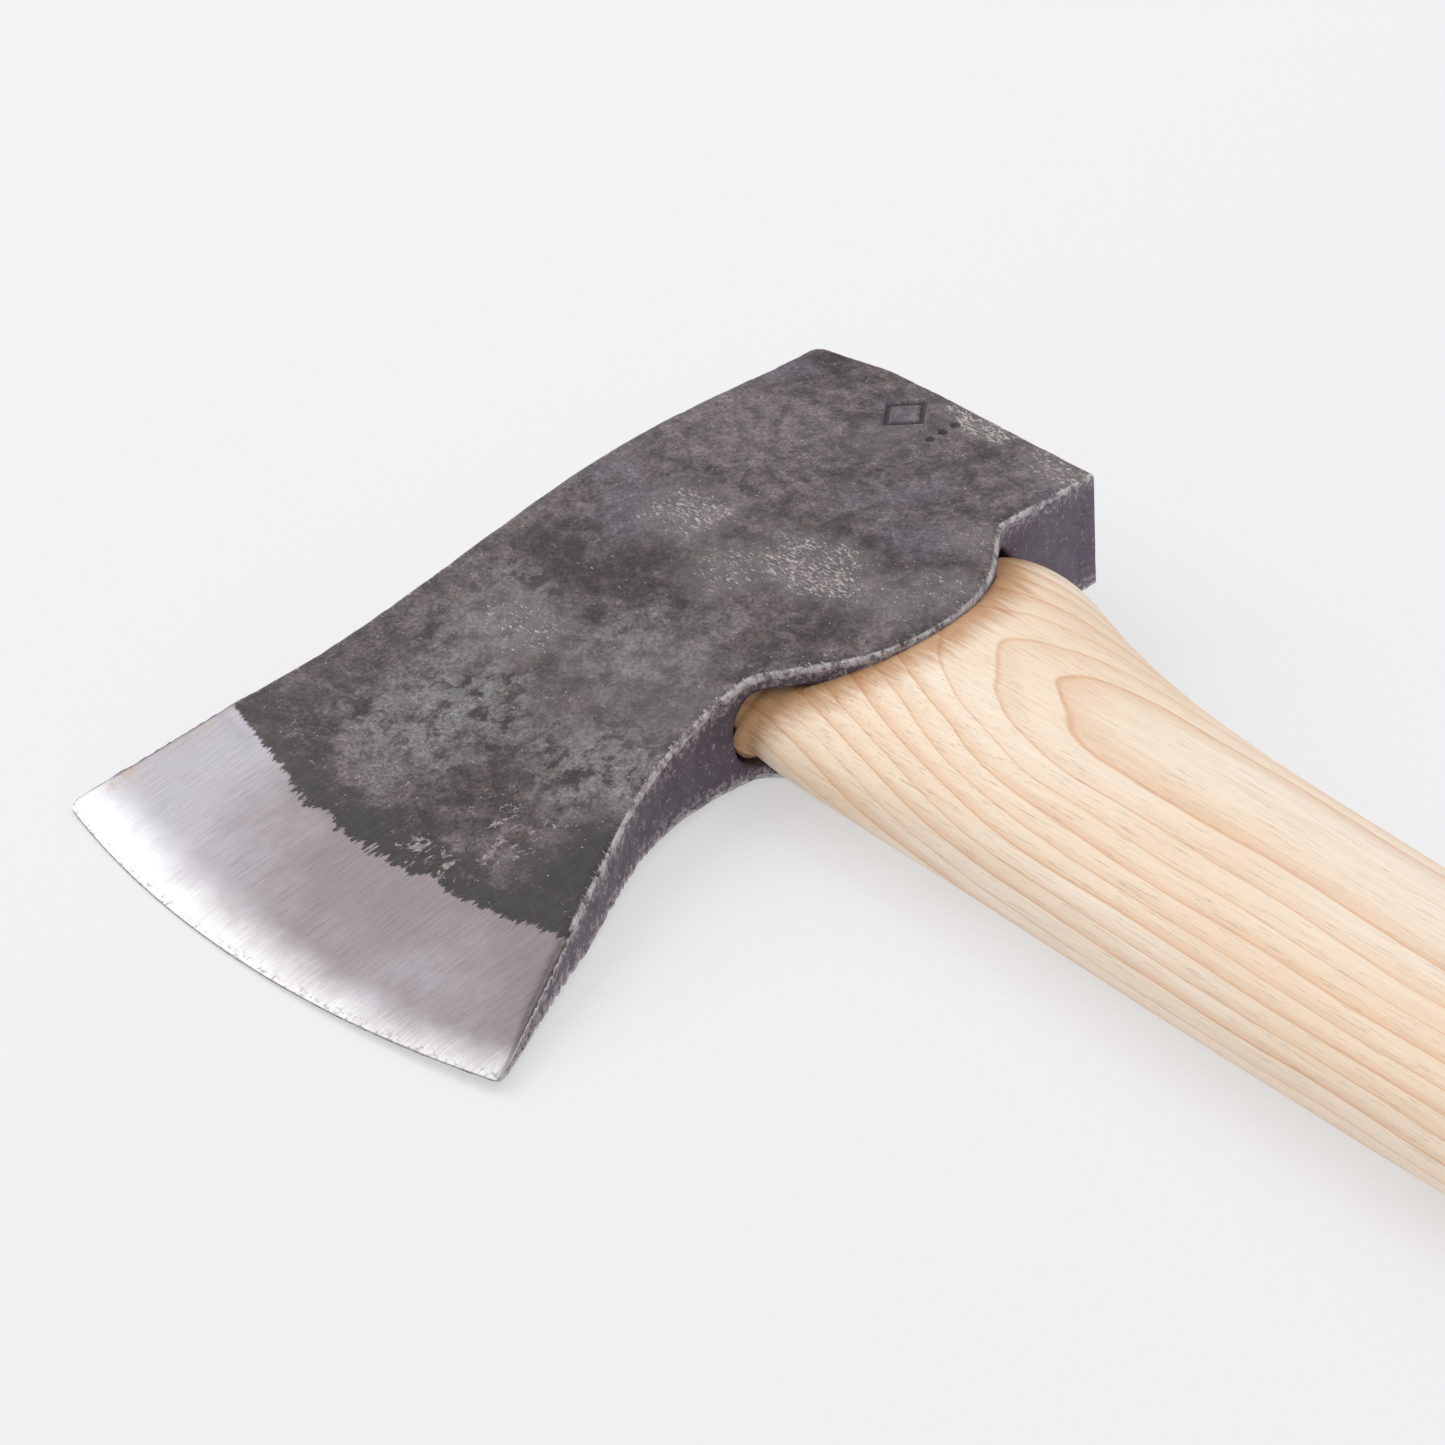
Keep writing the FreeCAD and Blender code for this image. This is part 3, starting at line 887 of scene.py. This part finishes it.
# Colours of the steel.
SCALE_DARK, SCALE_PALE = (0.040, 0.029, 0.032), (0.178, 0.150, 0.150)
PLUM = (0.135, 0.120, 0.150)
GREEN_GREY = (0.190, 0.187, 0.182)
BROWN = (0.105, 0.080, 0.070)
SOOT_DARK, SOOT_PALE = (0.010, 0.009, 0.009), (0.066, 0.061, 0.058)
BARE_DARK, BARE_PALE = (0.16, 0.135, 0.125), (0.42, 0.38, 0.37)
CRACK = (0.030, 0.026, 0.025)
HAZE = (0.240, 0.215, 0.208)
SPECK, DOT = (0.56, 0.51, 0.48), (0.50, 0.45, 0.40)
# rubbed metal on the arris, lightened further as a painted highlight
RUBBED_AND_HIGHLIGHT = (0.70, 0.67, 0.69)
STAMPED = (0.022, 0.019, 0.021)
BEVEL_PALE, BEVEL_DARK = (0.250, 0.238, 0.258), (0.158, 0.136, 0.140)
# honed metal by the edge, brightened as a painted highlight
KEEN_AND_HIGHLIGHT = (0.54, 0.535, 0.545)
NICK, EDGE_LINE = (0.12, 0.105, 0.10), (0.12, 0.10, 0.105)
TAN_STAIN = (0.27, 0.215, 0.165)
RIM_DARK, RIM_PALE = (0.058, 0.044, 0.060), (0.150, 0.122, 0.160)
# the first is the rim's colour with painted light, used towards the poll
RIM_PAINTED_LIGHT, RIM_SPECK = (0.185, 0.155, 0.200), (0.42, 0.38, 0.40)
HEEL_RUB = (0.46, 0.39, 0.30)


def patches(s, x, y, wobble, places):
    """Strength from 0 to 1 of a few soft, ragged patches at given places."""
    total = None
    for cx, cy, rx, ry, strength in places:
        ax = s.maths("DIVIDE", s.minus(x, cx), rx)
        ay = s.maths("DIVIDE", s.minus(y, cy), ry)
        away = s.plus(s.times(ax, ax), s.times(ay, ay))
        spot = s.step(s.plus(away, wobble), 1.75, 0.0, 0.0, strength)
        total = spot if total is None else s.larger(total, spot)
    return total


def dashes(s, place, turn):
    """Noise of short marks lying one way."""
    inputs = {"Vector": place, "Rotation": (0, 0, turn), "Scale": (0.8, 2.6, 1.0)}
    return s.noise(s.node("ShaderNodeMapping", inputs).outputs[0], 1.0, 3.0, 0.72, 0.5)


def scale_colour(s, place, x, y, line, arris):
    """Colour of the forge scale, and the noises and masks that the rest of the steel shares."""
    broad = s.noise(place, 0.035, 3.0, 0.6, 0.6)
    middle = s.noise(s.shift(place, (31.0, 7.0, 5.0)), 0.11, 4.0, 0.62, 0.4)
    mottle = s.noise(s.shift(place, (5.0, 44.0, 2.0)), 0.30, 6.0, 0.72, 0.3)
    grain = s.noise(place, 1.6, 4.0, 0.8)
    wobble = s.swing(middle, 3.2)

    tone = s.plus(s.times(broad, 0.5), s.times(mottle, 0.5))
    colour = s.mix(s.step(tone, 0.37, 0.65), SCALE_DARK, SCALE_PALE)
    plum = s.step(s.noise(s.shift(place, (3.0, 60.0, 9.0)), 0.05, 3.0), 0.50, 0.64)
    plum = s.times(plum, s.step(y, -30.0, -5.0, 0.25, 1.0))
    colour = s.layer(colour, PLUM, plum, 0.6)
    green = patches(s, x, y, wobble, GREEN_PATCHES)
    green = s.times(green, s.step(mottle, 0.40, 0.52))
    colour = s.layer(colour, GREEN_GREY, green, 0.8)
    brown = s.step(s.noise(s.shift(place, (70.0, 2.0, 1.0)), 0.22, 6.0, 0.75), 0.53, 0.62)
    colour = s.layer(colour, BROWN, brown, 0.5)
    fine, coarse = s.step(grain, 0.30, 0.70, 0.55, 1.50), s.step(mottle, 0.34, 0.66, 0.82, 1.20)
    colour = s.gain(colour, s.times(fine, coarse))

    # burnt black above the grind line, brushed at the heel
    soot = s.plus(line, s.swing(mottle, 16.0))
    soot = s.step(soot, GRIND_WIDTH + 9.0, GRIND_WIDTH + 3.0)
    soot = s.times(soot, s.step(x, -58.0, -30.0, 0.45, 1.0))
    soot = s.larger(soot, patches(s, x, y, wobble, HEEL_PATCH))
    streak = s.noise(s.stretch(place, (2.2, 0.12, 0.5)), 1.0, 3.0, 0.7)
    black = s.mix(streak, SOOT_DARK, SOOT_PALE)
    colour = s.layer(colour, black, soot, 0.92)

    # lace of bare metal where flakes came off
    lace = s.noise(s.stretch(place, (0.42, 0.30, 0.3)), 1.0, 5.0, 0.68, 1.6)
    flaked = patches(s, x, y, wobble, FLAKED_PATCHES)
    limit = s.minus(0.72, s.times(flaked, 0.17))
    flake = s.times(s.minus(lace, limit), 28.0, clamp=True)
    bare = s.mix(s.step(grain, 0.35, 0.65), BARE_DARK, BARE_PALE)
    colour = s.layer(colour, bare, flake, 0.8)
    crack = s.maths("ABSOLUTE", s.minus(s.noise(place, 0.20, 5.0, 0.65, 1.2), 0.5))
    crack = s.times(s.step(crack, 0.010, 0.003), s.step(y, -18.0, -40.0))
    colour = s.layer(colour, CRACK, crack, 0.55)

    # crowds of bright dashes
    density = patches(s, x, y, wobble, WORN_PATCHES)
    colour = s.layer(colour, HAZE, density, 0.42)
    density = s.larger(density, s.step(arris, 2.4, 0.2, 0.0, 0.9))
    density = s.larger(density, s.step(mottle, 0.35, 0.65, 0.28, 0.56))
    crossed = dashes(s, s.shift(place, (9.0, 4.0, 7.0)), -0.9)
    marks = s.larger(dashes(s, place, 0.6), crossed)
    limit = s.minus(0.785, s.times(density, 0.250))
    speck = s.times(s.minus(marks, limit), 20.0, clamp=True)
    speck = s.times(speck, s.minus(1.0, s.times(soot, 0.6)))
    colour = s.layer(colour, SPECK, speck, 0.85)
    dots = s.node("ShaderNodeTexVoronoi", {"Vector": place, "Scale": 0.55, "Randomness": 1.0})
    dot = s.step(dots.outputs["Distance"], 0.085, 0.04)
    colour = s.layer(colour, DOT, dot, 0.8)

    # the arris is rubbed bright, and this bright line is also a painted highlight
    patchy = s.step(s.noise(place, 0.5, 4.0, 0.7), 0.36, 0.62)
    rubbed_and_highlight = s.times(s.step(arris, 0.62, 0.28), patchy)
    colour = s.layer(colour, RUBBED_AND_HIGHLIGHT, rubbed_and_highlight, 0.9)
    sunk = s.attribute("sunk").outputs["Fac"]
    colour = s.mix(s.step(sunk, 0.05, 0.35, 0.0, 0.7), colour, STAMPED)
    metal = s.larger(s.larger(speck, flake), rubbed_and_highlight)
    return colour, metal, grain, mottle, soot, rubbed_and_highlight


def bevel_colour(s, place, x, edge, brush):
    """Colour of the ground and polished bevel, with a painted reflection and a painted highlight
    by the edge laid into it.
    """
    cloud = s.noise(place, 0.06, 4.0, 0.62)
    # painted reflection: paler towards the top line and by the edge, darker towards the underside;
    # the cloud is the steel's own tone
    tone = s.plus(s.times(cloud, 0.8), s.step(x, -56.0, -22.0, -0.30, 0.22))
    tone = s.plus(tone, s.step(edge, 26.0, 8.0, 0.1, -0.08))
    colour = s.mix(s.step(tone, 0.15, 0.75), BEVEL_PALE, BEVEL_DARK)
    colour = s.gain(colour, s.step(brush, 0.30, 0.70, 0.80, 1.20))
    # the band by the edge: honed bright metal, with a painted highlight laid over it
    fringe = s.plus(edge, s.swing(brush, 5.0))
    fringe = s.plus(fringe, s.swing(s.noise(place, 0.16, 4.0, 0.65), 5.0))
    keen_and_highlight = s.step(s.plus(fringe, s.step(x, -52.0, 18.0, -1.5, 2.6)), 9.5, 0.0)
    colour = s.layer(colour, KEEN_AND_HIGHLIGHT, keen_and_highlight, 0.80)
    chips = s.step(s.noise(place, 1.3, 4.0, 0.75), 0.52, 0.60)
    nick = s.times(s.step(edge, 2.0, 0.4), chips)
    colour = s.layer(colour, NICK, nick, 0.6)
    colour = s.mix(s.step(edge, 0.25, 0.08, 0.0, 0.6), colour, EDGE_LINE)
    from_top = s.plus(x, 60.5)
    stain = s.step(from_top, 5.5, 0.8)
    stain = s.times(stain, s.step(s.noise(place, 0.28, 5.0, 0.72), 0.44, 0.60))
    stain = s.times(stain, s.step(edge, 2.5, 7.0))
    return s.layer(colour, TAN_STAIN, stain, 0.6)


def steel_material():
    s = Shader("forged_steel")
    place = s.attribute("forge").outputs["Vector"]
    parts = s.node("ShaderNodeSeparateXYZ", {0: place})
    x, y = parts.outputs[0], parts.outputs[1]
    arris = s.attribute("arris").outputs["Fac"]

    # distance in from the cutting edge's arc
    dx = s.minus(x, float(EDGE_CENTRE[0]))
    dy = s.minus(y, float(EDGE_CENTRE[1]))
    reach = s.maths("SQRT", s.plus(s.times(dx, dx), s.times(dy, dy)))
    edge = s.minus(EDGE_RADIUS, reach)

    # the bright bevel's ragged line: fine teeth by the toe, coarser further down
    ragged = s.swing(s.noise(place, 0.15, 3.0, 0.6), 9.0)
    teeth = s.swing(s.noise(s.stretch(place, (1.9, 0.30, 1.0)), 1.0, 3.0, 0.7), 4.6)
    ragged = s.times(ragged, s.step(x, -50.0, -25.0, 0.2, 1.0))
    ragged = s.times(ragged, s.step(x, 14.0, 4.0, 0.25, 1.0))
    teeth = s.times(teeth, s.step(x, -58.0, -40.0, 0.3, 1.0))
    line = s.plus(edge, s.plus(ragged, teeth))
    line = s.plus(line, s.step(x, -60.0, -15.0, -1.8, 1.6))
    ground = s.step(line, GRIND_WIDTH - 0.25, GRIND_WIDTH + 0.25, 1.0, 0.0)

    colour, metal, grain, mottle, soot, rubbed_and_highlight = scale_colour(s, place, x, y, line, arris)
    brush = s.noise(s.stretch(place, (3.0, 0.10, 0.5)), 1.0, 4.0, 0.78)
    bright = bevel_colour(s, place, x, edge, brush)

    # rim faces: plum-black, dusted with light specks, and lighter by the poll with painted light
    side = s.maths("ABSOLUTE", s.attribute("side").outputs["Fac"])
    rim = s.step(side, 0.62, 0.42)
    dust = s.noise(place, 0.9, 6.0, 0.82)
    rim_colour = s.mix(s.noise(place, 0.18, 5.0, 0.75), RIM_DARK, RIM_PALE)
    dusty = s.plus(dust, s.step(arris, 3.5, 0.3, 0.0, 0.10))
    # painted light: the rim faces are made lighter towards the poll
    painted_light_by_poll = s.step(y, 14.0, 26.0, 0.0, 0.45)
    rim_colour = s.mix(painted_light_by_poll, rim_colour, RIM_PAINTED_LIGHT)
    rim_speck = s.step(dusty, 0.54, 0.66)
    rim_colour = s.layer(rim_colour, RIM_SPECK, rim_speck, 0.75)
    heel_rub = s.times(s.step(y, -84.0, -90.0), s.step(dust, 0.45, 0.6))
    rim_colour = s.layer(rim_colour, HEEL_RUB, heel_rub, 0.6)
    # the rubbed arris and its painted highlight run on over the rim's lip
    rim_colour = s.layer(rim_colour, RUBBED_AND_HIGHLIGHT, rubbed_and_highlight, 0.8)

    colour = s.mix(ground, colour, bright)
    colour = s.mix(rim, colour, rim_colour)
    polished = s.times(ground, s.minus(1.0, rim))
    scaly = s.minus(1.0, ground)
    scale_rough = s.step(mottle, 0.35, 0.65, 0.42, 0.62)
    roughness = s.blend(polished, scale_rough, s.step(brush, 0.2, 0.8, 0.22, 0.38))
    metallic = s.blend(polished, s.plus(0.25, s.times(metal, 0.4)), 1.0)

    lumps = s.plus(s.times(mottle, 0.6), s.times(grain, 0.55))
    lumps = s.minus(lumps, s.times(metal, 0.25))
    lumps = s.times(lumps, s.times(scaly, s.blend(soot, 1.0, 0.5)))
    scratches = s.times(brush, s.times(polished, 0.10))
    normal = s.bump(s.plus(lumps, scratches), 0.28)
    return s.surface(
        Base_Color=colour, Roughness=roughness, Metallic=metallic, Normal=normal,
        Specular_IOR_Level=0.32,
    )


def wood_nodes(s, place, across, spacing, pale, tan, dark_share):
    """Growth rings, fibres and pores of a pale hardwood; across is the place between rings."""
    warp = s.swing(s.noise(s.stretch(place, (0.010, 0.05, 0.05)), 1.0, 2.0), 4.0)
    wander = s.swing(s.noise(s.stretch(place, (0.03, 0.12, 0.12)), 1.0, 2.0), 0.9)
    ring = s.maths("DIVIDE", s.plus(s.plus(across, warp), wander), spacing)
    phase = s.maths("FRACT", ring)
    year = s.maths("FLOOR", ring)
    vary = s.node("ShaderNodeTexWhiteNoise", {"W": year}, noise_dimensions="1D").outputs["Value"]
    rise = s.step(phase, 0.25, 0.90)
    fall = s.step(phase, 0.91, 0.985, 1.0, 0.0)
    late = s.times(s.times(rise, fall), s.step(vary, 0.0, 1.0, 0.35, 1.1))
    core = s.times(s.step(phase, 0.82, 0.92), fall)
    late = s.plus(s.times(late, 0.5), s.times(core, 0.5))
    late = s.times(late, dark_share, clamp=True)
    fibre = s.noise(s.stretch(place, (0.05, 3.2, 3.2)), 1.0, 4.0, 0.65)
    silk = s.noise(s.stretch(place, (0.02, 0.55, 0.55)), 1.0, 3.0, 0.6)
    broad = s.noise(s.stretch(place, (0.012, 0.07, 0.07)), 1.0, 3.0)
    deep = tuple(c * k for c, k in zip(pale, (0.95, 0.87, 0.77)))
    colour = s.mix(s.step(broad, 0.35, 0.7), pale, deep)
    colour = s.mix(s.times(s.step(silk, 0.45, 0.75), 0.4), colour, deep)
    colour = s.mix(late, colour, tan)
    tint = s.mix(s.step(fibre, 0.28, 0.72), (0.93, 0.915, 0.89), (1.04, 1.045, 1.05))
    colour = s.mix(1.0, colour, tint, "MULTIPLY")
    pores = s.noise(s.stretch(place, (0.12, 6.0, 6.0)), 1.0, 2.0, 0.7)
    pore = s.step(pores, 0.62, 0.72)
    colour = s.layer(colour, tan, pore, 0.08)
    return colour, fibre, pore


# The heart of the tree that the handle was split from runs above its upper side: the rings'
# middle in y and z. It bends towards the handle by the shoulder, over BEND's two places along
# the handle, and hardly at all beyond.
HEART = (7.0, 46.0)
HEART_SLOPE = -0.012
BEND = (-6.0, 52.0)
BEND_DEPTH = -7.0
RING_SPACING = 2.6


def handle_material():
    s = Shader("handle_wood")
    place = s.attribute("forge").outputs["Vector"]
    steel_distance = s.attribute("steel_distance").outputs["Fac"]
    parts = s.node("ShaderNodeSeparateXYZ", {0: place})
    flat = s.node("ShaderNodeCombineXYZ", {1: parts.outputs[1], 2: parts.outputs[2]}).outputs[0]
    away = s.node("ShaderNodeVectorMath", {0: flat, 1: (0.0, *HEART)}, operation="DISTANCE")
    across = s.plus(away.outputs["Value"], s.times(parts.outputs[0], HEART_SLOPE))
    across = s.plus(across, s.step(parts.outputs[0], *BEND, 0.0, BEND_DEPTH))
    pale, tan = (0.900, 0.775, 0.645), (0.720, 0.440, 0.260)
    colour, fibre, pore = wood_nodes(s, place, across, RING_SPACING, pale, tan, 0.95)
    # the oil that has soaked in beside the steel, and painted shade where the wood meets the steel
    streak = s.noise(s.stretch(place, (0.05, 1.3, 1.3)), 1.0, 4.0, 0.72)
    reach = s.plus(steel_distance, s.swing(streak, -10.0))
    oiled_and_shaded = s.step(reach, 8.0, 1.2)
    dark = s.mix(1.0, colour, (0.56, 0.37, 0.21), "MULTIPLY")
    colour = s.layer(colour, dark, oiled_and_shaded, 0.9)
    normal = s.bump(s.minus(s.times(fibre, 0.6), s.times(pore, 0.7)), 0.06)
    roughness = s.plus(0.42, s.times(fibre, 0.16))
    return s.surface(
        Base_Color=colour, Roughness=roughness, Normal=normal, Specular_IOR_Level=0.35
    )


def object_millimetres(s):
    """Place in the forging's axes, for a CAD node with no stored coordinates."""
    where = s.node("ShaderNodeTexCoord").outputs["Object"]
    turn = TO_FORGE.to_3x3()
    rows = {i: s.plus(s.dot(where, tuple(turn[i])), TO_FORGE[i][3]) for i in range(3)}
    return s.node("ShaderNodeCombineXYZ", rows).outputs[0]


def wedge_wood_material():
    s = Shader("wedge_wood")
    place = object_millimetres(s)
    across = s.dot(place, (0.1, 0.97, 0.2))
    brown, dark = (0.42, 0.25, 0.13), (0.22, 0.11, 0.05)
    colour, fibre, _ = wood_nodes(s, place, across, 1.7, brown, dark, 0.9)
    normal = s.bump(fibre, 0.12)
    return s.surface(Base_Color=colour, Roughness=0.62, Normal=normal)


def wedge_steel_material():
    s = Shader("wedge_steel")
    place = object_millimetres(s)
    blotch = s.noise(place, 0.5, 4.0, 0.65)
    rust = s.step(s.noise(place, 0.9, 5.0, 0.75), 0.55, 0.7)
    colour = s.mix(blotch, (0.23, 0.22, 0.22), (0.46, 0.45, 0.45))
    colour = s.layer(colour, (0.20, 0.11, 0.07), rust, 0.5)
    roughness = s.plus(0.35, s.times(blotch, 0.3))
    normal = s.bump(s.noise(place, 1.6, 4.0, 0.7), 0.2)
    return s.surface(Base_Color=colour, Roughness=roughness, Metallic=0.9, Normal=normal)


# ---------------------------------------------------------------- studio

def make_camera():
    """Looks from the photographer's side; its place and axes are in the forging's axes."""
    right = Vector((0.65477, 0.75096, -0.08567))
    up = Vector((-0.41596, 0.45266, 0.78871))
    back = Vector((0.63107, -0.48079, 0.60876))
    place = Vector((323.8, -276.8, 318.1))
    turn = TO_ROW.to_3x3() @ Matrix((right, up, back)).transposed()
    data = bpy.data.cameras.new("camera")
    data.sensor_width = 36.0
    data.lens = 89.7
    data.clip_end = 50.0
    camera = link(bpy.data.objects.new("camera", data))
    camera.matrix_world = Matrix.Translation(TO_ROW @ place) @ turn.normalized().to_4x4()
    bpy.context.scene.camera = camera


def make_floor():
    """Pale paper, which gives off part of its light itself so that the shadows stay faint."""
    size = 6.0
    mesh = bpy.data.meshes.new("floor")
    corners = [(-size, -size, 0), (size, -size, 0), (size, size, 0), (-size, size, 0)]
    mesh.from_pydata(corners, [], [(0, 1, 2, 3)])
    floor = link(bpy.data.objects.new("floor", mesh))
    s = Shader("paper")
    tooth = s.noise(s.node("ShaderNodeTexCoord").outputs["Object"], 900.0, 3.0)
    colour = s.mix(tooth, (0.34, 0.34, 0.345), (0.37, 0.37, 0.375))
    mesh.materials.append(s.surface(
        Base_Color=colour, Roughness=0.95, Specular_IOR_Level=0.0,
        Emission_Color=(1.0, 1.0, 1.01), Emission_Strength=0.5,
    ))


def area_light(name, place, target, size, power):
    light = bpy.data.lights.new(name, "AREA")
    light.shape = "RECTANGLE"
    light.size, light.size_y = size
    light.energy = power
    lamp = link(bpy.data.objects.new(name, light))
    lamp.location = place
    lamp.rotation_euler = (Vector(target) - lamp.location).to_track_quat("-Z", "Y").to_euler()


def make_lights():
    area_light("softbox", (-1.6, -0.45, 1.4), (-0.1, 0, 0), (2.2, 1.9), 25)
    area_light("overhead", (0.3, 0.9, 2.2), (0, 0, 0), (2.2, 1.6), 8)
    world = bpy.data.worlds.new("studio")
    world.use_nodes = True
    background = world.node_tree.nodes["Background"]
    background.inputs[0].default_value = (0.98, 0.98, 1.0, 1)
    background.inputs[1].default_value = 0.70
    bpy.context.scene.world = world
    bpy.context.scene.view_settings.view_transform = "Standard"


# ---------------------------------------------------------------- assembly

def use_material(node, material):
    if node.material_slots:
        for slot in node.material_slots:
            slot.material = material
    else:
        node.data.materials.append(material)


make_camera()
make_floor()
make_lights()

head = build_head(steel_material())
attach(head, "root")
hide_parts("axe_head")

handle = build_handle(handle_material())
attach(handle, "root")
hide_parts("handle")

use_material(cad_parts["wood_wedge"], wedge_wood_material())
use_material(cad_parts["steel_wedge"], wedge_steel_material())
